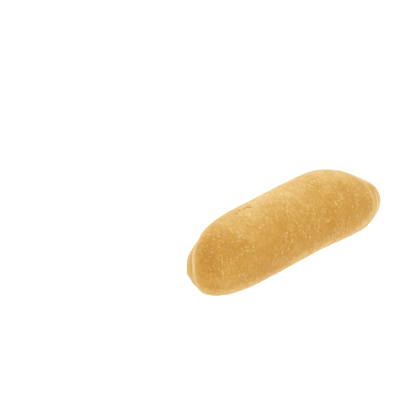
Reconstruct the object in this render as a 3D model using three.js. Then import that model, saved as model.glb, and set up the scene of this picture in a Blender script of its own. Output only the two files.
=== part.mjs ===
// An oil bread roll: a sheet of dough rolled up on itself and baked, lying on its flat underside.
// X runs along the roll, Y across it and Z up. Sizes are in millimetres, angles in radians.
import * as THREE from "three";

// Overall form
const LENGTH = 125;
const WIDTH = 43.2; // across the middle
const HEIGHT = 35.8; // from the table to the crown
const EQUATOR = 17; // height of the widest line
const SINK = 5.2; // depth of the round section that the table presses flat
const PRESS_BLEND = 3; // softness of the edge round the flat underside
const BOW = 3.4; // sideways bow of the middle
const CHORD_Y = -2.8; // line from tip to tip that the bow starts from
const WIDTH_GROWTH = 0.1; // share by which the width grows from the -X tip to the +X tip
const HEIGHT_GROWTH = 0.015; // share by which the height grows the same way
const TIP_TURN_REACH = 40; // length over which a tip turns aside from the middle
const ROUNDING_POWER = 2.2; // fullness of the rounding of both ends

// The two ends. The tip turns aside and comes to its own level. Side, crown and belly round off over
// their reach, with a point of 0.5 for a round nose and less for a blunt one. The lip is the edge of
// the outer wrap: it leaves the lengthwise seam at seamAngle, closes in on coreRadius as it turns
// round the core of the coil, and has died out at a distance from the tip. The crease under the lip
// is steep on the wrap, gentler on the core, and the wrap swells to a rim beside it.
const LEFT_END = {
  tip: { aside: 0.8, level: 14.7 },
  side: { reach: 40.3, point: 0.41 },
  crown: { reach: 40.3, point: 0.41 },
  belly: { reach: 42, point: 0.41 },
  lip: { coreY: 3, coreZ: 11, coreRadius: 5.2, flare: 6.6, seamAngle: 0.35, diesOutAt: 55 },
  crease: { depth: 1.8, wrapWidth: 1.2, coreWidth: 4, rim: 0.8 },
};
const RIGHT_END = {
  tip: { aside: -3.7, level: 13.1 },
  side: { reach: 37.8, point: 0.53 },
  crown: { reach: 43, point: 0.53 },
  belly: { reach: 33.3, point: 0.53 },
  lip: { coreY: -8, coreZ: 12.5, coreRadius: 12, flare: 4.6, seamAngle: -0.35, diesOutAt: 32 },
  crease: { depth: 1, wrapWidth: 1.6, coreWidth: 2.6, rim: 0 },
};
const RIM_OFFSET = 5; // from the lip's edge to the top of its rim
const RIM_WIDTH = 4;
const LIP_FULL_FROM_TIP = 14; // the lip is at full depth up to this distance from the tip
const LIP_TURN_FADE = { start: 2.4, end: 3.9 }; // turn round the core over which the lip dies out
const SEAM_FADE = -1.2; // turn behind the seam at which the crease begins
const FIRST_TURN = -2; // turns are counted from here, where no crease is left
const LEAST_SLOPE = 0.01;
const SPINE_INSET = 16; // the relief stands out from a spine that ends this far inside each tip

// Facets: columns crowd towards the lengthwise seam, rings towards the tips and most at the left one
const RINGS = 76;
const LEFT_CROWDING = 1.2;
const COLUMNS = 68;
const SEAM_SECTION_ANGLE = 0.7;
const SEAM_CROWDING = 0.45;

const CRUST_FINISH = { color: 0xd8a75c, roughness: 0.6, metalness: 0 };

// Share of the full section that is left at a distance from a tip
function rounding(distance, cap) {
  const inward = Math.min(Math.max(distance, 0) / cap.reach, 1);
  return (1 - (1 - inward) ** ROUNDING_POWER) ** cap.point;
}

function bothEnds(x, direction) {
  const left = rounding(x + LENGTH / 2, LEFT_END[direction]);
  const right = rounding(LENGTH / 2 - x, RIGHT_END[direction]);
  return left * right;
}

// How far a tip has turned aside at a distance from it: 1 at the tip, 0 past the reach
function tipTurn(distance) {
  return Math.max(1 - distance / TIP_TURN_REACH, 0) ** 2;
}

// Middle and half sizes of the cross-section at x
function section(x) {
  const along = x / LENGTH;
  const left = tipTurn(x + LENGTH / 2);
  const right = tipTurn(LENGTH / 2 - x);
  const aside = LEFT_END.tip.aside * left + RIGHT_END.tip.aside * right;
  const dip = (LEFT_END.tip.level - EQUATOR) * left + (RIGHT_END.tip.level - EQUATOR) * right;
  const height = HEIGHT * (1 + HEIGHT_GROWTH * along);
  return {
    y: CHORD_Y + BOW * (1 - (2 * along) ** 2) + aside,
    z: EQUATOR + dip,
    halfWidth: (WIDTH / 2) * (1 + WIDTH_GROWTH * along) * bothEnds(x, "side"),
    rise: (height - EQUATOR) * bothEnds(x, "crown"),
    drop: (EQUATOR + SINK) * bothEnds(x, "belly"),
  };
}

// Smooth dough before the lips and the flat underside
function plainSkin(x, angle) {
  const { y, z, halfWidth, rise, drop } = section(x);
  const upright = Math.sin(angle);
  return new THREE.Vector3(x, y + halfWidth * Math.cos(angle), z + (upright > 0 ? rise : drop) * upright);
}

function outward(point) {
  const spineEnd = LENGTH / 2 - SPINE_INSET;
  const x = THREE.MathUtils.clamp(point.x, -spineEnd, spineEnd);
  const { y, z } = section(x);
  return point.clone().sub(new THREE.Vector3(x, y, z)).normalize();
}

// Signed distance from the lip's edge: positive on the outer wrap, negative on the core
function distanceFromLip(lip, radius, turn) {
  const outsideCore = turn < 0 ? Math.max(radius - lip.coreRadius, 0) : radius - lip.coreRadius;
  const slope = Math.hypot(turn, outsideCore / Math.max(radius, lip.coreRadius));
  return (outsideCore * turn - lip.flare) / Math.max(slope, LEAST_SLOPE);
}

// Height of the rim above the plain skin, or depth of the crease below it
function lipRelief({ lip, crease }, point, fromTip) {
  const y = point.y - lip.coreY;
  const z = point.z - lip.coreZ;
  const fullTurn = 2 * Math.PI;
  const angle = Math.atan2(z, y) - lip.seamAngle;
  const turn = THREE.MathUtils.euclideanModulo(angle - FIRST_TURN, fullTurn) + FIRST_TURN;
  const distance = distanceFromLip(lip, Math.hypot(y, z), turn);
  const strength =
    (1 - THREE.MathUtils.smoothstep(fromTip, LIP_FULL_FROM_TIP, lip.diesOutAt)) *
    (1 - THREE.MathUtils.smoothstep(turn, LIP_TURN_FADE.start, LIP_TURN_FADE.end)) *
    THREE.MathUtils.smoothstep(turn, SEAM_FADE, 0);
  const width = distance > 0 ? crease.wrapWidth : crease.coreWidth;
  const fold = crease.depth * Math.exp(-Math.abs(distance) / width);
  const rim = crease.rim * Math.exp(-(((distance - RIM_OFFSET) / RIM_WIDTH) ** 2));
  return strength * (rim - fold);
}

// The table presses the round underside flat, with a soft edge
function pressed(z) {
  if (z >= PRESS_BLEND) return z;
  if (z <= -PRESS_BLEND) return 0;
  return (z + PRESS_BLEND) ** 2 / (4 * PRESS_BLEND);
}

function crustPoint(x, angle) {
  const point = plainSkin(x, angle);
  const relief = lipRelief(LEFT_END, point, x + LENGTH / 2) + lipRelief(RIGHT_END, point, LENGTH / 2 - x);
  point.addScaledVector(outward(point), relief);
  point.z = pressed(point.z);
  return point;
}

// A spindle turned about Y, whose vertices are then moulded into the roll
function spindle() {
  const profile = [];
  for (let ring = 0; ring <= RINGS; ring += 1) {
    const swing = (Math.PI * ring) / RINGS;
    const along = ((1 - Math.cos(swing)) / 2) ** LEFT_CROWDING;
    const radius = ring === 0 || ring === RINGS ? 0 : (WIDTH / 2) * Math.sin(swing);
    profile.push(new THREE.Vector2(radius, (along - 0.5) * LENGTH));
  }
  return new THREE.LatheGeometry(profile, COLUMNS);
}

// The spindle takes the roll's form, and its bounding box then stands on the origin
function mouldRoll() {
  const geometry = spindle();
  const position = geometry.attributes.position;
  const vertex = new THREE.Vector3();
  for (let index = 0; index < position.count; index += 1) {
    vertex.fromBufferAttribute(position, index);
    const column = Math.atan2(vertex.x, vertex.z);
    const angle = column - SEAM_CROWDING * Math.sin(column - SEAM_SECTION_ANGLE);
    const moulded = crustPoint(vertex.y, angle);
    position.setXYZ(index, moulded.x, moulded.y, moulded.z);
  }
  geometry.computeBoundingBox();
  const { min, max } = geometry.boundingBox;
  geometry.translate(-(min.x + max.x) / 2, -(min.y + max.y) / 2, -min.z);
  geometry.computeVertexNormals();
  return geometry;
}

const roll = new THREE.Mesh(mouldRoll(), new THREE.MeshStandardMaterial(CRUST_FINISH));
roll.name = "roll";

const breadRoll = new THREE.Group();
breadRoll.add(roll);

export default breadRoll;
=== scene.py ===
# An oil bread roll, coiled from a sheet of dough and baked, on a plain pale floor.
# X runs along the roll, Y across it and Z up. Sizes are in metres, and angles in radians unless they are
# called degrees. A turn is an angle round the core of an end, counted from the seam of the outer wrap.
import math
from dataclasses import dataclass

import bpy
import numpy as np
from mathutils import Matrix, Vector, noise


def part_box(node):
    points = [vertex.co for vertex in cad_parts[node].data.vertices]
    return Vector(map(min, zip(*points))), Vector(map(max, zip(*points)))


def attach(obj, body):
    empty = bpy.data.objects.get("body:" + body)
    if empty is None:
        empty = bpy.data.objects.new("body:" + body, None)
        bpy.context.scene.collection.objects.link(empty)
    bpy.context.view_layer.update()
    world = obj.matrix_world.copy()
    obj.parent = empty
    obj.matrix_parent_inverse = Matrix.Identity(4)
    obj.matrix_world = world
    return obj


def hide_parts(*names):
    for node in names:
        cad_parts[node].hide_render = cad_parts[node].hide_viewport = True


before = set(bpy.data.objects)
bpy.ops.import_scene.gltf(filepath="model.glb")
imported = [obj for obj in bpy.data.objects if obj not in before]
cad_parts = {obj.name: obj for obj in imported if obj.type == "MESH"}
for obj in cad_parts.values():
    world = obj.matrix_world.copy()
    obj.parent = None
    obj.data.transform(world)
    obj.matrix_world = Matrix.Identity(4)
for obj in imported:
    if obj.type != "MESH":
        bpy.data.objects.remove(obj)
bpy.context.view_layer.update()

MM = 0.001
WHITE = (1, 1, 1, 1)

# Camera, as the photograph was taken
CAMERA_AZIMUTH = math.radians(36.03)  # to the left of straight in front
CAMERA_ELEVATION = math.radians(42)
CAMERA_DISTANCE = 605.5 * MM
CAMERA_AIM = Vector((-32.5, 33.1, 29.0)) * MM
CAMERA_LENS = 99.955
CAMERA_SENSOR = 36

# Studio, with a floor that is lit from below as a light table is
FLOOR_REACH = 3.0
FLOOR_FINISH = {
    "Base Color": (0.1, 0.1, 0.1, 1),
    "Roughness": 0.9,
    "Emission Color": WHITE,
    "Emission Strength": 0.97,
}
WORLD_STRENGTH = 0.925
SOFTBOX_SIZE = 0.8
SOFTBOXES = {
    "top": {"place": (0.0, 0.1, 1.0), "power": 1.5},
    "back": {"place": (0.45, 0.8, 0.5), "power": 0.8},
}

# Overall form, the same as the solid's
LENGTH = 125 * MM
WIDTH = 43.2 * MM
HEIGHT = 35.8 * MM
EQUATOR = 17 * MM  # height of the widest line
SINK = 5.2 * MM  # how far the round underside would reach below the table
PRESS_BLEND = 3 * MM  # softness of the flat underside's edge
BOW = 3.4 * MM  # how far the middle stands back from the line between the ends
CHORD_Y = -2.8 * MM
WIDTH_GROWTH = 0.1  # from the left end to the right, as a share
HEIGHT_GROWTH = 0.015
TIP_REACH = 40 * MM  # within which of a tip the middle line leaves the bow for the tip's own place
ROUNDING_POWER = 2.2
SPINE_INSET = 16 * MM  # the spine, from which the relief points away, ends this far inside the tips


@dataclass
class End:
    """One end of the roll: its tip, its rounding, and the lip of the outer wrap round the core."""

    side: int  # -1 at the left, 1 at the right
    # The tip's place off the bow and its height
    aside: float
    level: float
    # How far from the tip the width, the rise and the drop are full, and how pointed the tip is
    side_reach: float
    crown_reach: float
    belly_reach: float
    point: float
    # The core, and the course of the lip that winds in towards it
    core_y: float
    core_z: float
    core_radius: float
    flare: float
    closing: float
    seam_angle: float
    dies_out_at: float
    # The crease under the lip, with its widths on the wrap and on the core, and the swollen rim
    crease_depth: float
    wrap_width: float
    core_width: float
    rim: float
    # The layers of the core, whose step changes between two turns
    layer_steps: tuple
    layer_turns: tuple
    layer_count: float
    layer_depth: float
    layer_paleness: float
    # The pale crest of the lip, whose offset from the lip's edge changes along the lip
    crest_offsets: tuple
    crest_width: float
    crest_paleness: float
    low_crest: float  # share of the paleness that is left towards the underside
    # The paler skin beside the crest, and the core's own browning
    collar_reach: float
    collar_paleness: tuple
    core_browning: float

    def from_tip(self, x):
        return LENGTH / 2 - self.side * x


LEFT = End(
    side=-1, aside=0.8 * MM, level=14.7 * MM, side_reach=40.3 * MM, crown_reach=40.3 * MM,
    belly_reach=42 * MM, point=0.41, core_y=3 * MM, core_z=11 * MM, core_radius=5.2 * MM,
    flare=6.6 * MM, closing=3.5 * MM, seam_angle=0.35, dies_out_at=55 * MM, crease_depth=1.3 * MM,
    wrap_width=0.7 * MM, core_width=4 * MM, rim=0.8 * MM, layer_steps=(1.5 * MM, 1.5 * MM),
    layer_turns=(1.0, 2.0), layer_count=4, layer_depth=0.08 * MM, layer_paleness=0.25,
    crest_offsets=(2.0 * MM, 3.7 * MM), crest_width=1.8 * MM, crest_paleness=0.66, low_crest=0.3,
    collar_reach=5.2 * MM, collar_paleness=(0.06, 0.36), core_browning=0.08,
)
RIGHT = End(
    side=1, aside=-3.7 * MM, level=13.1 * MM, side_reach=37.8 * MM, crown_reach=43 * MM,
    belly_reach=33.3 * MM, point=0.53, core_y=-8 * MM, core_z=12.5 * MM, core_radius=12 * MM,
    flare=4.6 * MM, closing=0, seam_angle=-0.35, dies_out_at=32 * MM, crease_depth=0.5 * MM,
    wrap_width=0.8 * MM, core_width=2.6 * MM, rim=0, layer_steps=(2 * MM, 1.5 * MM),
    layer_turns=(2.2, 3.1), layer_count=4, layer_depth=0.22 * MM, layer_paleness=1.6,
    crest_offsets=(0.1 * MM, 0.1 * MM), crest_width=1.2 * MM, crest_paleness=0.28, low_crest=1,
    collar_reach=4 * MM, collar_paleness=(0.08, 0.1), core_browning=0.02,
)

# Lips of the outer wrap, for both ends
RIM_OFFSET = 5 * MM
RIM_WIDTH = 4 * MM
LIP_FULL_FROM_TIP = 14 * MM
LIP_TURN_FADE = (2.4, 3.9)  # turns between which the lip dies out
LIP_CLOSING = {"turn": 2.15, "width": 0.65}  # the turn about which the lip closes in further
LIP_WANDER = {"size": 8.5 * MM, "reach": 0.35 * MM, "seed": 2}
LIP_CREST_DRIFT = (1.0, 1.75)  # turns between which the crest moves away from the lip's edge
SEAM_FADE = -1.2  # the turn before the seam at which the lip begins
FIRST_TURN = -2  # where the turns are cut, in the part of the round that has no lip
LEAST_SLOPE = 0.01  # keeps the distance from the lip finite where its course has no slope
CORE_BLEND = 1.5 * MM
LAYER_FADE = 0.5  # share of a layer's step over which the layers begin below the lip
LAYER_SHARPNESS = 3.0
LAYER_TURN_WIDTH = 0.65  # how far from the second of their turns the layers' edges are pale
LOW_TURNS = (1.9, 2.7)  # turns between which the lip goes down towards the underside
BACK_TURNS = (0.2, 0.8)  # turns between which the lip comes from the back to the front
BACK_CREST = 0.3
# Painted shade: a darker line along the lip's crease at the back
BACK_CREASE_SHADE = {"width": 0.8 * MM, "browning": 0.2}

# Mesh: a box of cells, square at the two tips, moulded into the roll
CAP_CELLS = 84
CAP_REACH = 18 * MM  # along the skin from a tip to the edge of its square of cells
BODY_CELLS = 234
PROFILE_SAMPLES = 20001
BOX_MARGIN = 0.7 * MM  # within which of the solid's box the skin is drawn in

# Noise that all uneven things are made of; patterns with different seeds are far apart
SEED_SHIFT = Vector((17.3, 5.1, 9.7))
NOISE_ROUGHNESS = 1.0
NOISE_GROWTH = 2.0
NOISE_OCTAVES = 3

# Relief of the crust; a size is one length, or lengths along X, Y and Z
SKIN_INSET = 0.2 * MM  # room for the relief below the solid's skin
UNEVENNESS = (
    {"size": 17 * MM, "height": 0.26 * MM, "seed": 1},  # broad lumps
    {"size": 5 * MM, "height": 0.07 * MM, "seed": 3},  # dimples
    {"size": 1.5 * MM, "height": 0.03 * MM, "seed": 4},  # fine peel
    {"size": (1.5 * MM, 13 * MM, 13 * MM), "height": 0.05 * MM, "seed": 5},  # stretch marks round the roll
)
BLISTERS = {"count": 320, "radius": (0.6 * MM, 1.3 * MM), "height": (-0.09 * MM, 0.09 * MM), "seed": 7}

# Swells and dents of the uneven outline
SWELLS = (
    {"place": (-44 * MM, 13.6 * MM, 26.3 * MM), "radius": 7 * MM, "height": 0.6 * MM},
    {"place": (36 * MM, 13 * MM, 29 * MM), "radius": 10 * MM, "height": 0.55 * MM},
    {"place": (49.5 * MM, 1.6 * MM, 28.5 * MM), "radius": 6 * MM, "height": -0.5 * MM},
    {"place": (58.8 * MM, -8.7 * MM, 20.8 * MM), "radius": 3.5 * MM, "height": 0.4 * MM},
    {"place": (54.2 * MM, -4 * MM, 25.3 * MM), "radius": 2 * MM, "height": -0.35 * MM},
    {"place": (54.1 * MM, -18.1 * MM, 11.4 * MM), "radius": 6 * MM, "height": -0.5 * MM},
    {"place": (43.9 * MM, -18.5 * MM, 5.2 * MM), "radius": 4 * MM, "height": 0.5 * MM},
    {"place": (-60.6 * MM, -2.2 * MM, 7.1 * MM), "radius": 5 * MM, "height": -0.55 * MM},
    {"place": (-60.8 * MM, 5.1 * MM, 12.3 * MM), "radius": 1.4 * MM, "height": 0.6 * MM},
    {"place": (-56.1 * MM, 10.8 * MM, 17.2 * MM), "radius": 4 * MM, "height": 0.35 * MM},
    {"place": (2.1 * MM, 19.4 * MM, 26.5 * MM), "radius": 5 * MM, "height": -0.4 * MM},
    {"place": (12.7 * MM, -18.5 * MM, 6.2 * MM), "radius": 6 * MM, "height": -0.4 * MM},
)

# Lengthwise wrinkle on the crown: a shallow valley
WRINKLE_START = -31 * MM
WRINKLE_END = -14 * MM
WRINKLE_ANGLE = math.radians(64.5)
WRINKLE_WIDTH = 1.6 * MM
WRINKLE_DEPTH = 0.2 * MM
WRINKLE_FADE = 5 * MM

# Short cracks in the wrinkle, point by point: along the roll, degrees round it, and how far it is open
CRACKS = (
    ((-27.4 * MM, 65.5, 0), (-26 * MM, 64, 0.8), (-24.9 * MM, 63, 0)),
    ((-24.4 * MM, 62, 0), (-23.2 * MM, 61.5, 0.9), (-21.9 * MM, 62.5, 0.1), (-20.4 * MM, 63.5, 1),
     (-19.2 * MM, 62.5, 0)),
    ((-19.1 * MM, 60.5, 0.1), (-18.6 * MM, 62.5, 0.9), (-18 * MM, 66, 0.8), (-17.3 * MM, 70, 1),
     (-16.9 * MM, 72, 0)),
    ((-17.3 * MM, 62, 0), (-16.4 * MM, 62, 0.9), (-15.3 * MM, 61.5, 0)),
)
CRACK_WIDTH = 0.62 * MM  # half width to where its colour ends
CRACK_CORE = 0.31 * MM  # half width that is fully coloured
CRACK_DEPTH = 0.2 * MM
CRACK_RAGGED = {"size": 1.5 * MM, "reach": 0.3 * MM, "seed": 6}
CRACK_HALO = {"width": 1.2 * MM, "browning": 0.2}

# Lengthwise seam on the back, where the outer wrap ends, from the left lip to the right one. Its angle
# drifts, and its groove begins and ends, between pairs of places along the roll.
SEAM_ANGLES = (math.radians(27.9), math.radians(-16))
SEAM_DRIFT = (-30 * MM, 36 * MM)
SEAM_BEGINS = (-50 * MM, -25 * MM)
SEAM_ENDS = (28 * MM, 46 * MM)
SEAM_WANDER = {"size": 8.5 * MM, "reach": 0.8 * MM, "seed": 9}
SEAM_WIDTH = 0.9 * MM
SEAM_DEPTH = 0.4 * MM
SEAM_RIM = 0.3 * MM
SEAM_RIM_OFFSET = 2 * MM
# Painted shade: how much darker the colour is in the seam's groove
SEAM_GROOVE_SHADE = 0.1
SEAM_PALENESS = 0.05

# Burst bubbles: a pit in a pale ring
PINHOLES = (
    {"place": (-51.2 * MM, -16.6 * MM, 16.1 * MM), "radius": 0.75 * MM, "strength": 0.85},
    {"place": (-12.4 * MM, -8.0 * MM, 34.2 * MM), "radius": 0.65 * MM, "strength": 0.3},
)
PINHOLE_DEPTH = 0.3 * MM
PINHOLE_RING = 0.45  # half width of the ring, as a share of the radius
PINHOLE_PIT = (0.78, 0.55)  # shares of the radius at which the dark pit ends and is full

# Browning by the degrees round the section: 0 is the back, 90 the top, 180 the front
# Paler from about 45 to 75 degrees, along the top and its upper back edge: partly paler crust, partly
# painted sheen, the whitish veil of light from behind
BACK_BROWNING_AND_SHEEN = (
    (-90, 0.5), (-55, 0.4), (-25, 0.22), (15, 0.32), (45, 0.35),
    (60, 0.37), (75, 0.38), (105, 0.61), (140, 0.81),
)
FRONT_BROWNING = (
    (140, 0.81), (165, 0.82), (182, 0.86), (199, 0.46),
    (209, 0.46), (235, 0.46), (255, 0.48), (270, 0.5),
)
TOP_DEGREES = 90
LEFT_TWIST = {"degrees": 45, "full": 12 * MM, "none": 30 * MM}  # the brown turns to the back there
RIGHT_TWIST = {"degrees": 38, "full": 6 * MM, "none": 30 * MM}  # the pale front side rises there
TWIST_FADE = (100, 180)  # degrees from the top between which the browning turns less and less
RIGHT_FADE = {"from": 2 * MM, "to": 18 * MM, "least": 0.72}  # the right tip is baked less
BROWN_SPOTS = (
    {"place": (-56 * MM, -8 * MM, 25 * MM), "radius": 6 * MM, "browning": 0.2},
    {"place": (-43 * MM, -8 * MM, 31 * MM), "radius": 8 * MM, "browning": 0.13},
    {"place": (-38 * MM, 13 * MM, 30 * MM), "radius": 12 * MM, "browning": 0.12},
    {"place": (-51 * MM, -15 * MM, 20 * MM), "radius": 7 * MM, "browning": -0.16},
    {"place": (-53.5 * MM, -1 * MM, 28.6 * MM), "radius": 5 * MM, "browning": 0.2},
    {"place": (-52 * MM, -17 * MM, 8 * MM), "radius": 10 * MM, "browning": 0.05},
    {"place": (-28 * MM, -19 * MM, 12 * MM), "radius": 14 * MM, "browning": 0.04},
    {"place": (18 * MM, 5 * MM, 34 * MM), "radius": 9 * MM, "browning": 0.09},
    {"place": (44 * MM, -2 * MM, 33 * MM), "radius": 6 * MM, "browning": -0.07},
    {"place": (5 * MM, 14 * MM, 30 * MM), "radius": 8 * MM, "browning": -0.07},
    {"place": (-45 * MM, -18 * MM, 19 * MM), "radius": 8 * MM, "browning": -0.04},
    {"place": (-57 * MM, -13 * MM, 16 * MM), "radius": 5 * MM, "browning": -0.08},
    {"place": (-57 * MM, -12 * MM, 9.5 * MM), "radius": 4 * MM, "browning": 0.06},
    {"place": (25 * MM, -18.5 * MM, 6 * MM), "radius": 10 * MM, "browning": -0.1},
    {"place": (36 * MM, -20.5 * MM, 14 * MM), "radius": 6 * MM, "browning": -0.12},
    {"place": (53 * MM, -10 * MM, 25 * MM), "radius": 6 * MM, "browning": 0.1},
    {"place": (58 * MM, -3.5 * MM, 23.5 * MM), "radius": 5.5 * MM, "browning": -0.3},
)
BROWNING_SWAY = {"size": 14 * MM, "degrees": 8, "seed": 11}
BROWNING_PATCHES = (
    {"size": 9 * MM, "browning": 0.12, "seed": 12},
    {"size": 2.6 * MM, "browning": 0.04, "seed": 13},
)
BROWNING_FRINGE = {"size": (1 * MM, 9 * MM, 9 * MM), "degrees": (4, 13), "seed": 14}
FRINGE_GROWTH = (-45 * MM, 5 * MM)  # places along the roll between which the fringe grows

# Crust colours from pale dough to brown, and the colours of what marks it
CRUST_RAMP = (
    (0.00, (0.86, 0.66, 0.35, 1)),
    (0.25, (0.78, 0.54, 0.215, 1)),
    (0.50, (0.70, 0.415, 0.10, 1)),
    (0.80, (0.62, 0.313, 0.042, 1)),
    (1.00, (0.555, 0.253, 0.028, 1)),
)
FLECK_COLOUR = (0.95, 0.76, 0.33, 1)
FLOUR_COLOUR = (0.92, 0.77, 0.44, 1)
FOLD_COLOUR = (0.94, 0.77, 0.41, 1)
CRACK_COLOUR = (0.5, 0.195, 0.0, 1)
PIT_COLOUR = (0.45, 0.13, 0.0, 1)
FLECK_COVER = 0.9
FOLD_COVER = 0.8

# Fine texture of the crust, by sizes along the roll and around it
GRAIN = {
    "along": 0.25 * MM, "around": 1.2 * MM, "detail": 3, "browning": 1.2, "height": 0.6, "roughness": 0.25,
}
STREAKS = {"along": 0.55 * MM, "around": 4 * MM, "detail": 2, "browning": 0.5, "height": 0.5}
CLUSTERS = {"along": 7 * MM, "around": 7 * MM, "detail": 1, "contrast": 3, "level": 0.7}

# Specks: their cells' sizes, their radius as a share of a cell, and the share of the cells that hold one
FLECKS = {"along": 0.6 * MM, "around": 1.5 * MM, "radius": 0.5, "share": 0.45}
STROKES = {"along": 0.75 * MM, "around": 3.4 * MM, "radius": 0.44, "share": 0.3}
PORES = {
    "along": 1.1 * MM, "around": 1.1 * MM, "radius": 0.5, "share": 0.5, "browning": 0.08, "height": -0.15,
}
SPECK_CORE = 0.45  # share of a speck's radius that is fully coloured
SPECK_STRENGTH = {"least": 0.2, "spread": 0.8, "power": 2}
FLECK_HEIGHT = 0.35
FLOURY = (
    {"place": (-6 * MM, 12 * MM, 32.5 * MM), "radius": 7 * MM, "flour": 1},
    {"place": (-15.5 * MM, 6 * MM, 34.8 * MM), "radius": 5 * MM, "flour": 1},
    {"place": (-36 * MM, -7 * MM, 33.5 * MM), "radius": 3 * MM, "flour": 1},
)
FLOURY_SHARE = 0.35  # added to the flecks' share where the skin is floury

# Finish of the crust
ROUGHNESS = 0.58
BUMP = {"Strength": 0.35, "Distance": 0.25 * MM}
CRUST_FINISH = {
    "Specular IOR Level": 0.3,
    "Sheen Weight": 0.08,
    "Sheen Roughness": 0.45,
    "Subsurface Weight": 0.1,
    "Subsurface Radius": (1.0, 0.5, 0.2),
    "Subsurface Scale": 1.5 * MM,
}


def smooth_step(value, start, end):
    share = np.clip((value - start) / (end - start), 0, 1)
    return share * share * (3 - 2 * share)


def between(ends, share):
    return ends[0] + (ends[1] - ends[0]) * share


def bell(distance, width):
    return np.exp(-((distance / width) ** 2))


def lumps(points, kind):
    """Smooth noise from about -1 to 1, with lumps of the kind's size."""
    shift = SEED_SHIFT * kind["seed"]
    return np.array([
        noise.fractal(Vector(place) + shift, NOISE_ROUGHNESS, NOISE_GROWTH, NOISE_OCTAVES)
        for place in points / kind["size"]
    ])


def splat(points, place, radius):
    """A soft spot of height 1 about a place."""
    return bell(np.linalg.norm(points - place, axis=1), radius)


def spotted(points, spots, what):
    """Sum of soft spots, each with as much of what is asked for as it holds."""
    return sum(spot[what] * splat(points, spot["place"], spot["radius"]) for spot in spots)


def rounding(distance, reach, point):
    """Share of the full section that is left at a distance from a tip."""
    inward = np.clip(distance / reach, 0, 1)
    return (1 - (1 - inward) ** ROUNDING_POWER) ** point


def tip_share(distance):
    """Share of a tip's own place and height at a distance from it."""
    return np.clip(1 - distance / TIP_REACH, 0, None) ** 2


def section(x):
    """Place and height of the middle, half width, rise and drop of the cross-section at x."""
    along = x / LENGTH
    y = CHORD_Y + BOW * (1 - (2 * along) ** 2)
    z = EQUATOR
    half_width = WIDTH / 2 * (1 + WIDTH_GROWTH * along)
    rise = HEIGHT * (1 + HEIGHT_GROWTH * along) - EQUATOR
    drop = EQUATOR + SINK
    for end in (LEFT, RIGHT):
        distance = end.from_tip(x)
        y = y + end.aside * tip_share(distance)
        z = z + (end.level - EQUATOR) * tip_share(distance)
        half_width = half_width * rounding(distance, end.side_reach, end.point)
        rise = rise * rounding(distance, end.crown_reach, end.point)
        drop = drop * rounding(distance, end.belly_reach, end.point)
    return y, z, half_width, rise, drop


def plain_skin(x, angles):
    """Smooth dough before the lips and the flat underside."""
    y, z, half_width, rise, drop = section(x)
    upright = np.sin(angles)
    height = np.where(upright > 0, rise, drop) * upright
    return np.stack([x, y + half_width * np.cos(angles), z + height], axis=1)


def outward(points):
    """Directions away from the roll's spine."""
    spine_end = LENGTH / 2 - SPINE_INSET
    x = np.clip(points[:, 0], -spine_end, spine_end)
    y, z, *_ = section(x)
    away = points - np.stack([x, y, z], axis=1)
    return away / np.linalg.norm(away, axis=1, keepdims=True)


def pressed(z):
    """The table presses the round underside flat, with a soft edge."""
    soft = (z + PRESS_BLEND) ** 2 / (4 * PRESS_BLEND)
    return np.where(z >= PRESS_BLEND, z, np.where(z <= -PRESS_BLEND, 0, soft))


def drawn_in(points):
    """The points, drawn in softly near the sides and the top of the solid's box, to stay inside it."""
    low, high = (np.array(corner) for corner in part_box("roll"))
    low[2] = -math.inf
    past = np.maximum(np.maximum(points - high, low - points) + BOX_MARGIN, 0)
    return points - np.sign(points) * (past - BOX_MARGIN * np.tanh(past / BOX_MARGIN))


def skin_stations():
    """X along the roll and the length of skin passed on the way there from the left tip."""
    x = -LENGTH / 2 * np.cos(np.linspace(0, math.pi, PROFILE_SAMPLES))
    _, _, half_width, rise, _ = section(x)
    steps = np.hypot(np.diff(x), np.diff((half_width + rise) / 2))
    return x, np.concatenate([[0], np.cumsum(steps)])


def square_to_disc(a, b):
    """Radius and angle of a point of the square from -1 to 1, its rings of cells made round."""
    radius = np.maximum(np.abs(a), np.abs(b))
    wide = np.abs(a) >= np.abs(b)
    safe_a = np.where(a == 0, 1, a)
    safe_b = np.where(b == 0, 1, b)
    angle = np.where(wide, math.pi / 4 * b / safe_a, math.pi / 2 - math.pi / 4 * a / safe_b)
    return radius, angle + np.where(np.where(wide, a, b) < 0, math.pi, 0)


def cap_grid(first):
    """Vertex indices of a cap's square of cells, and of its edge in order of angle."""
    side = CAP_CELLS + 1
    grid = np.arange(side * side).reshape(side, side) + first
    edge = np.concatenate([grid[:-1, 0], grid[-1, :-1], grid[:0:-1, -1], grid[0, :0:-1]])
    return grid, edge


def quads_of(corners):
    return np.stack(corners, axis=2).reshape(-1, 4)


def cap_quads(grid):
    return quads_of([grid[:-1, :-1], grid[:-1, 1:], grid[1:, 1:], grid[1:, :-1]])


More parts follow.
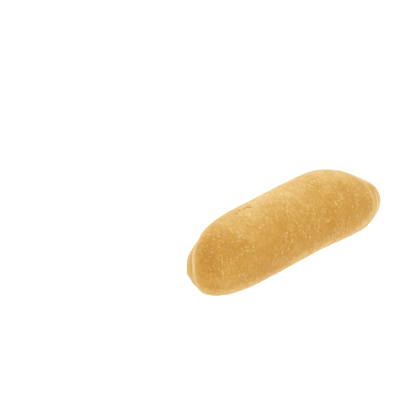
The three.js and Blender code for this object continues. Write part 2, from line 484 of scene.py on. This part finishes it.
def spindle_cells():
    """X, angle and quads of a closed spindle whose cells don't crowd at the tips."""
    x, travelled = skin_stations()
    skin_length = travelled[-1]
    ticks = np.linspace(-1, 1, CAP_CELLS + 1)
    a, b = np.meshgrid(ticks, ticks, indexing="ij")
    radius, cap_angle = square_to_disc(a.ravel(), b.ravel())
    cap = radius * CAP_REACH
    left_grid, left_edge = cap_grid(0)
    right_grid, right_edge = cap_grid(left_grid.size)
    columns = left_edge.size
    rings = CAP_REACH + np.arange(1, BODY_CELLS) / BODY_CELLS * (skin_length - 2 * CAP_REACH)
    body = np.arange(rings.size * columns).reshape(rings.size, columns) + 2 * left_grid.size
    stations = np.concatenate([cap, skin_length - cap, np.repeat(rings, columns)])
    angles = np.concatenate([cap_angle, cap_angle, np.tile(cap_angle[left_edge], rings.size)])
    rows = np.vstack([left_edge, body, right_edge])
    beside = np.roll(rows, -1, axis=1)
    body_quads = quads_of([rows[:-1], beside[:-1], beside[1:], rows[1:]])
    quads = np.concatenate([cap_quads(left_grid), cap_quads(right_grid)[:, ::-1], body_quads])
    return np.interp(stations, travelled, x), angles, quads


def around(angles, line):
    """Distance round the roll from a line at a section angle."""
    return ((angles - line + math.pi) % (2 * math.pi) - math.pi) * HEIGHT / 2


class Skin:
    """The roll's skin: its points, and at each of them the relief, the browning and the crust's marks."""

    def __init__(self):
        self.x, self.angles, self.quads = spindle_cells()
        self.points = plain_skin(self.x, self.angles)
        self.normals = outward(self.points)
        self.relief = np.full(len(self.points), -SKIN_INSET)
        # Besides the crust's browning, this holds painted sheen along the top edge and painted shade in the
        # back crease and the seam's groove
        self.browning = np.zeros(len(self.points))
        self.marks = {}

    def moulded(self):
        """The points with their relief, centred, pressed flat below and kept in the solid's box."""
        middle = (self.points.min(axis=0) + self.points.max(axis=0)) / 2
        middle[2] = 0
        points = self.points - middle + self.normals * self.relief[:, None]
        points[:, 2] = pressed(points[:, 2])
        return drawn_in(points)


class Lip:
    """The lip of the outer wrap at one end, and where each point of the skin lies to it."""

    def __init__(self, end, skin, wander):
        y = skin.points[:, 1] - end.core_y
        z = skin.points[:, 2] - end.core_z
        radius = np.hypot(y, z)
        turn = (np.arctan2(z, y) - end.seam_angle - FIRST_TURN) % (2 * math.pi) + FIRST_TURN
        outside = radius - end.core_radius
        outside = np.where(turn < 0, np.maximum(outside, 0), outside)
        slope = np.hypot(turn, outside / np.maximum(radius, end.core_radius))
        course = (outside * turn - end.flare) / np.maximum(slope, LEAST_SLOPE)
        closing = end.closing * bell(turn - LIP_CLOSING["turn"], LIP_CLOSING["width"])
        strength = 1 - smooth_step(end.from_tip(skin.x), LIP_FULL_FROM_TIP, end.dies_out_at)
        strength = strength * (1 - smooth_step(turn, *LIP_TURN_FADE)) * smooth_step(turn, SEAM_FADE, 0)
        self.end = end
        self.turn = turn
        self.here = end.side * skin.x > 0
        self.strength = np.where(self.here, strength, 0)
        self.distance = course + closing + wander  # from the lip's edge, positive on the wrap
        self.steps = self.distance / between(end.layer_steps, smooth_step(turn, *end.layer_turns))
        self.drift = smooth_step(turn, *LIP_CREST_DRIFT)
        self.from_crest = self.distance - between(end.crest_offsets, self.drift)
        self.front = smooth_step(turn, *BACK_TURNS)
        self.low = between((1, end.low_crest), smooth_step(turn, *LOW_TURNS))

    def layered(self):
        """1 where layers show in the core, below the lip, and 0 elsewhere."""
        count = self.end.layer_count
        return smooth_step(-self.steps, 0, LAYER_FADE) * (1 - smooth_step(-self.steps, count / 2, count))

    def relief(self):
        """The crease under the lip, the swollen rim above it and the edges of the layers in the core."""
        width = np.where(self.distance > 0, self.end.wrap_width, self.end.core_width)
        fold = self.end.crease_depth * np.exp(-np.abs(self.distance) / width)
        rim = self.end.rim * bell(self.distance - RIM_OFFSET, RIM_WIDTH)
        edges = self.end.layer_depth * self.layered() * (0.5 + 0.5 * np.cos(2 * math.pi * self.steps))
        return self.strength * (rim - fold + edges)

    def browning(self):
        """The core's own browning, a painted shade along the crease at the back and the pale collar beside
        the crest.
        """
        core = self.end.core_browning * smooth_step(-self.distance, 0, CORE_BLEND)
        # Painted shade, darker along the crease at the back
        crease = BACK_CREASE_SHADE["browning"] * (1 - self.front) * bell(self.distance, BACK_CREASE_SHADE["width"])
        collar = 1 - smooth_step(np.abs(self.from_crest), 0, self.end.collar_reach)
        collar = between(self.end.collar_paleness, self.drift) * self.low * collar
        return self.strength * (core + crease - collar)

    def crest(self):
        """Paleness of the crest, weaker at the back and towards the underside."""
        shows = self.strength * self.low * between((BACK_CREST, 1), self.front)
        return self.end.crest_paleness * shows * bell(self.from_crest, self.end.crest_width / 2)

    def layers(self):
        """Paleness of the layers' edges."""
        shows = self.strength * self.layered() * bell(self.turn - self.end.layer_turns[1], LAYER_TURN_WIDTH)
        return self.end.layer_paleness * shows


def twist(end, kind, x, degrees):
    """Degrees by which the browning turns round the roll near one end, none along the underside."""
    share = 1 - smooth_step(end.from_tip(x), kind["full"], kind["none"])
    return kind["degrees"] * share * (1 - smooth_step(np.abs(degrees - TOP_DEGREES), *TWIST_FADE))


def add_browning(skin):
    """How far the crust is browned, 0 pale and 1 brown; paler along the top edge, partly as painted sheen.
    """
    lowest = BACK_BROWNING_AND_SHEEN[0][0]
    degrees = (np.degrees(skin.angles) - lowest) % 360 + lowest
    degrees = degrees + BROWNING_SWAY["degrees"] * lumps(skin.points, BROWNING_SWAY)
    fringe = between(BROWNING_FRINGE["degrees"], smooth_step(skin.x, *FRINGE_GROWTH))
    degrees = degrees + fringe * lumps(skin.points, BROWNING_FRINGE)
    back = np.interp(degrees + twist(LEFT, LEFT_TWIST, skin.x, degrees), *np.transpose(BACK_BROWNING_AND_SHEEN))
    front = np.interp(degrees + twist(RIGHT, RIGHT_TWIST, skin.x, degrees), *np.transpose(FRONT_BROWNING))
    fade = smooth_step(RIGHT.from_tip(skin.x), RIGHT_FADE["from"], RIGHT_FADE["to"])
    skin.browning += np.minimum(back, front) * between((RIGHT_FADE["least"], 1), fade)
    for patches in BROWNING_PATCHES:
        skin.browning += patches["browning"] * lumps(skin.points, patches)
    skin.browning += spotted(skin.points, BROWN_SPOTS, "browning")


def add_lips(skin):
    """The fold of the outer wrap at each end, with the layers of the core inside it."""
    wander = LIP_WANDER["reach"] * lumps(skin.points, LIP_WANDER)
    lips = [Lip(end, skin, wander) for end in (LEFT, RIGHT)]
    for lip in lips:
        skin.relief += lip.relief()
        skin.browning += lip.browning()
    skin.marks["layer_steps"] = sum(np.where(lip.here, lip.steps, 0) for lip in lips)
    skin.marks["crest"] = sum(lip.crest() for lip in lips)
    skin.marks["layers"] = sum(lip.layers() for lip in lips)


def add_unevenness(skin):
    """Lumps, dimples, stretch marks, blisters and swells of the crust."""
    for kind in UNEVENNESS:
        skin.relief += kind["height"] * lumps(skin.points, kind)
    draw = np.random.default_rng(BLISTERS["seed"])
    for index in draw.choice(len(skin.points), BLISTERS["count"], replace=False):
        radius = draw.uniform(*BLISTERS["radius"])
        skin.relief += draw.uniform(*BLISTERS["height"]) * splat(skin.points, skin.points[index], radius)
    skin.relief += spotted(skin.points, SWELLS, "height")


def add_wrinkle(skin):
    """The wrinkle on the crown."""
    fade_in = smooth_step(skin.x, WRINKLE_START, WRINKLE_START + WRINKLE_FADE)
    fade_out = 1 - smooth_step(skin.x, WRINKLE_END - WRINKLE_FADE, WRINKLE_END)
    valley = bell(around(skin.angles, WRINKLE_ANGLE), WRINKLE_WIDTH)
    skin.relief -= WRINKLE_DEPTH * fade_in * fade_out * valley


def crack_lines(skin):
    """Distance from the nearest crack and how far that is open."""
    ragged = CRACK_RAGGED["reach"] * lumps(skin.points, CRACK_RAGGED)
    across = around(skin.angles, WRINKLE_ANGLE) + ragged
    away = np.full(len(skin.points), LENGTH)
    opening = np.zeros(len(skin.points))
    for crack in CRACKS:
        x, degrees, shares = np.transpose(crack)
        aside = around(np.radians(degrees), WRINKLE_ANGLE)
        for here in range(len(crack) - 1):
            run = x[here + 1] - x[here]
            climb = aside[here + 1] - aside[here]
            share = ((skin.x - x[here]) * run + (across - aside[here]) * climb) / (run ** 2 + climb ** 2)
            share = np.clip(share, 0, 1)
            distance = np.hypot(skin.x - x[here] - share * run, across - aside[here] - share * climb)
            opening = np.where(distance < away, between(shares[here:here + 2], share), opening)
            away = np.minimum(away, distance)
    return away, opening


def add_cracks(skin):
    """The cracks in the wrinkle, with a brown halo."""
    away, opening = crack_lines(skin)
    skin.relief -= CRACK_DEPTH * opening * bell(away, CRACK_WIDTH)
    skin.browning += CRACK_HALO["browning"] * opening * bell(away, CRACK_HALO["width"])
    skin.marks["crack"] = away
    skin.marks["crack_opening"] = opening


def add_back_seam(skin):
    """The seam on the back: a groove, darkened in colour as painted shade, and the swollen rim of the outer
    wrap above it.
    """
    line = between(SEAM_ANGLES, smooth_step(skin.x, *SEAM_DRIFT))
    away = around(skin.angles, line) + SEAM_WANDER["reach"] * lumps(skin.points, SEAM_WANDER)
    strength = smooth_step(skin.x, *SEAM_BEGINS) * (1 - smooth_step(skin.x, *SEAM_ENDS))
    groove = strength * bell(away, SEAM_WIDTH)
    rim = strength * bell(away - SEAM_RIM_OFFSET, SEAM_RIM_OFFSET)
    skin.relief += SEAM_RIM * rim - SEAM_DEPTH * groove
    # Painted shade in the groove, and a paler rim
    skin.browning += SEAM_GROOVE_SHADE * groove - SEAM_PALENESS * rim


def add_pinholes(skin):
    """The pits of the burst bubbles."""
    skin.relief -= PINHOLE_DEPTH * spotted(skin.points, PINHOLES, "strength")


def make_mesh(name, points, quads):
    mesh = bpy.data.meshes.new(name)
    mesh.vertices.add(len(points))
    mesh.vertices.foreach_set("co", points.ravel())
    mesh.loops.add(quads.size)
    mesh.loops.foreach_set("vertex_index", quads.ravel())
    mesh.polygons.add(len(quads))
    mesh.polygons.foreach_set("loop_start", np.arange(0, quads.size, 4))
    mesh.polygons.foreach_set("use_smooth", np.ones(len(quads), dtype=bool))
    mesh.update(calc_edges=True)
    mesh.validate()
    return mesh


def make_roll():
    skin = Skin()
    add_browning(skin)
    add_lips(skin)
    add_unevenness(skin)
    add_wrinkle(skin)
    add_cracks(skin)
    add_back_seam(skin)
    add_pinholes(skin)
    # The browning field carries painted sheen and painted shade as well as the crust's browning
    skin.marks["browning"] = skin.browning
    skin.marks["flank"] = 1 - skin.normals[:, 0] ** 2
    skin.marks["flour"] = spotted(skin.points, FLOURY, "flour")
    mesh = make_mesh("bread_roll", skin.moulded(), skin.quads)
    for name, values in skin.marks.items():
        field = mesh.attributes.new(name, "FLOAT", "POINT")
        field.data.foreach_set("value", values.astype(np.float32))
    roll = bpy.data.objects.new("bread_roll", mesh)
    bpy.context.scene.collection.objects.link(roll)
    return roll


def on_skin(roll, place):
    """The roll's vertex nearest to a place."""
    return min((vertex.co for vertex in roll.data.vertices), key=lambda co: (co - Vector(place)).length)


class Graph:
    """The nodes of one material, added one call at a time."""

    def __init__(self, material):
        material.use_nodes = True
        self.tree = material.node_tree
        self.shader = self.tree.nodes["Principled BSDF"]

    def put(self, socket, value):
        if isinstance(value, bpy.types.NodeSocket):
            self.tree.links.new(value, socket)
        else:
            socket.default_value = value

    def set_shader(self, values):
        """Sets the shader's inputs by name."""
        for name, value in values.items():
            self.put(self.shader.inputs[name], value)

    def add(self, kind, inputs=None, **settings):
        made = self.tree.nodes.new(kind)
        for name, value in settings.items():
            setattr(made, name, value)
        for key, value in (inputs or {}).items():
            self.put(made.inputs[key], value)
        return made

    def math(self, operation, a, b=0.0, c=0.0, clamp=False):
        made = self.add("ShaderNodeMath", {0: a, 1: b, 2: c}, operation=operation, use_clamp=clamp)
        return made.outputs[0]

    def times(self, a, b):
        return self.math("MULTIPLY", a, b)

    def plus_times(self, total, a, b):
        """The total with a times b added."""
        return self.math("MULTIPLY_ADD", a, b, total)

    def field(self, name):
        return self.add("ShaderNodeAttribute", attribute_name=name).outputs["Fac"]

    def place(self):
        return self.add("ShaderNodeTexCoord").outputs["Object"]

    def stretched(self, size):
        """The object's coordinates, divided by a size along the roll and one around it."""
        scale = [1 / size["along"], 1 / size["around"], 1 / size["around"]]
        return self.add("ShaderNodeMapping", {"Vector": self.place(), "Scale": scale}).outputs[0]

    def noise(self, kind):
        """Noise about 0."""
        inputs = {"Vector": self.stretched(kind), "Scale": 1.0, "Detail": kind["detail"]}
        made = self.add("ShaderNodeTexNoise", inputs)
        return self.math("SUBTRACT", made.outputs["Fac"], 0.5)

    def near(self, distance, reach, full=0.0):
        """1 up to the full distance, 0 from the reach on."""
        inputs = {0: distance, 1: full, 2: reach, 3: 1.0, 4: 0.0}
        return self.add("ShaderNodeMapRange", inputs, interpolation_type="SMOOTHSTEP").outputs[0]

    def away(self, place, unit):
        """Distance from a place, in a unit."""
        made = self.add("ShaderNodeVectorMath", {0: self.place(), 1: place}, operation="DISTANCE")
        return self.math("DIVIDE", made.outputs["Value"], unit)

    def specks(self, kind, share):
        """Spots in a share of the cells about random points, each as strong as chance has it."""
        inputs = {"Vector": self.stretched(kind), "Scale": 1.0}
        made = self.add("ShaderNodeTexVoronoi", inputs, feature="F1")
        chance = self.add("ShaderNodeSeparateColor", {0: made.outputs["Color"]}).outputs
        strength = self.math("POWER", chance[1], SPECK_STRENGTH["power"])
        strength = self.plus_times(SPECK_STRENGTH["least"], strength, SPECK_STRENGTH["spread"])
        strength = self.times(self.math("LESS_THAN", chance[0], share), strength)
        spot = self.near(made.outputs["Distance"], kind["radius"], SPECK_CORE * kind["radius"])
        return self.times(spot, strength)

    def mix(self, share, low, high):
        return self.add("ShaderNodeMix", {0: share, 6: low, 7: high}, data_type="RGBA").outputs[2]

    def ramp(self, value, stops):
        made = self.add("ShaderNodeValToRGB", {"Fac": value})
        band = made.color_ramp
        while len(band.elements) < len(stops):
            band.elements.new(1.0)
        for element, (place, colour) in zip(band.elements, stops):
            element.position = place
            element.color = colour
        return made.outputs["Color"]


def fold_marks(graph):
    """Pale edge of the outer wrap and of the layers of the core."""
    wave = graph.math("COSINE", graph.times(graph.field("layer_steps"), 2 * math.pi))
    edges = graph.math("POWER", graph.plus_times(0.5, wave, 0.5), LAYER_SHARPNESS)
    return graph.plus_times(graph.field("crest"), edges, graph.field("layers"))


def pinhole_marks(graph, roll):
    """Pale rings and dark pits of the burst bubbles."""
    rings = 0.0
    pits = 0.0
    for hole in PINHOLES:
        away = graph.away(on_skin(roll, hole["place"]), hole["radius"])
        ring = graph.near(graph.math("ABSOLUTE", graph.math("SUBTRACT", away, 1.0)), PINHOLE_RING)
        pit = graph.near(away, *PINHOLE_PIT)
        rings = graph.plus_times(rings, ring, hole["strength"])
        pits = graph.plus_times(pits, pit, hole["strength"])
    return rings, pits


def crack_marks(graph):
    """Brown lines of the wrinkle's cracks, as strong as they are open."""
    line = graph.near(graph.field("crack"), CRACK_WIDTH, CRACK_CORE)
    return graph.times(line, graph.field("crack_opening"))


def fleck_marks(graph, flank, flour):
    """Pale flecks and strokes, in clusters, on all but the blunt faces of the ends."""
    flecks = graph.specks(FLECKS, graph.plus_times(FLECKS["share"], flour, FLOURY_SHARE))
    strokes = graph.specks(STROKES, STROKES["share"])
    level = graph.math("ADD", flour, CLUSTERS["level"])
    clusters = graph.math("MULTIPLY_ADD", graph.noise(CLUSTERS), CLUSTERS["contrast"], level, clamp=True)
    return graph.times(graph.times(graph.math("MAXIMUM", flecks, strokes), flank), clusters)


def crust_material(roll):
    material = bpy.data.materials.new("crust")
    graph = Graph(material)
    flank = graph.field("flank")
    flour = graph.field("flour")
    grain = graph.noise(GRAIN)
    streaks = graph.times(graph.noise(STREAKS), flank)
    pores = graph.specks(PORES, PORES["share"])
    flecks = fleck_marks(graph, flank, flour)
    rings, pits = pinhole_marks(graph, roll)

    # Browning of the crust, with painted sheen along the top edge and painted shade in the back crease and
    # the seam's groove
    browning_and_painted_light = graph.field("browning")
    height = graph.times(flecks, FLECK_HEIGHT)
    for marks, kind in ((grain, GRAIN), (streaks, STREAKS), (pores, PORES)):
        browning_and_painted_light = graph.plus_times(browning_and_painted_light, marks, kind["browning"])
        height = graph.plus_times(height, marks, kind["height"])

    colour = graph.ramp(browning_and_painted_light, CRUST_RAMP)
    fleck_colour = graph.mix(flour, FLECK_COLOUR, FLOUR_COLOUR)
    colour = graph.mix(graph.times(flecks, FLECK_COVER), colour, fleck_colour)
    edges = graph.math("MAXIMUM", fold_marks(graph), rings)
    colour = graph.mix(graph.times(edges, FOLD_COVER), colour, FOLD_COLOUR)
    colour = graph.mix(crack_marks(graph), colour, CRACK_COLOUR)
    colour = graph.mix(pits, colour, PIT_COLOUR)

    bump = graph.add("ShaderNodeBump", {"Height": height, **BUMP})
    graph.set_shader({
        "Base Color": colour,
        "Roughness": graph.plus_times(ROUGHNESS, grain, GRAIN["roughness"]),
        "Normal": bump.outputs[0],
    })
    graph.set_shader(CRUST_FINISH)
    return material


def make_camera():
    data = bpy.data.cameras.new("camera")
    data.lens = CAMERA_LENS
    data.sensor_width = CAMERA_SENSOR
    camera = bpy.data.objects.new("camera", data)
    back = Vector((
        -math.sin(CAMERA_AZIMUTH) * math.cos(CAMERA_ELEVATION),
        -math.cos(CAMERA_AZIMUTH) * math.cos(CAMERA_ELEVATION),
        math.sin(CAMERA_ELEVATION),
    ))
    camera.location = CAMERA_AIM + back * CAMERA_DISTANCE
    camera.rotation_euler = back.to_track_quat("Z", "Y").to_euler()
    bpy.context.scene.collection.objects.link(camera)
    bpy.context.scene.camera = camera


def make_floor():
    mesh = bpy.data.meshes.new("floor")
    corners = [(x * FLOOR_REACH, y * FLOOR_REACH, 0) for x, y in ((-1, -1), (1, -1), (1, 1), (-1, 1))]
    mesh.from_pydata(corners, [], [(0, 1, 2, 3)])
    material = bpy.data.materials.new("floor")
    Graph(material).set_shader(FLOOR_FINISH)
    mesh.materials.append(material)
    floor = bpy.data.objects.new("floor", mesh)
    bpy.context.scene.collection.objects.link(floor)


def make_light():
    world = bpy.data.worlds.new("studio")
    world.use_nodes = True
    background = world.node_tree.nodes["Background"]
    background.inputs["Color"].default_value = WHITE
    background.inputs["Strength"].default_value = WORLD_STRENGTH
    bpy.context.scene.world = world
    for name, box in SOFTBOXES.items():
        data = bpy.data.lights.new(name, "AREA")
        data.size = SOFTBOX_SIZE
        data.energy = box["power"]
        light = bpy.data.objects.new(name, data)
        light.location = box["place"]
        light.rotation_euler = light.location.to_track_quat("Z", "Y").to_euler()
        bpy.context.scene.collection.objects.link(light)
    bpy.context.scene.view_settings.view_transform = "Standard"


make_camera()
make_floor()
make_light()
roll = make_roll()
roll.data.materials.append(crust_material(roll))
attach(roll, "root")
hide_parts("roll")
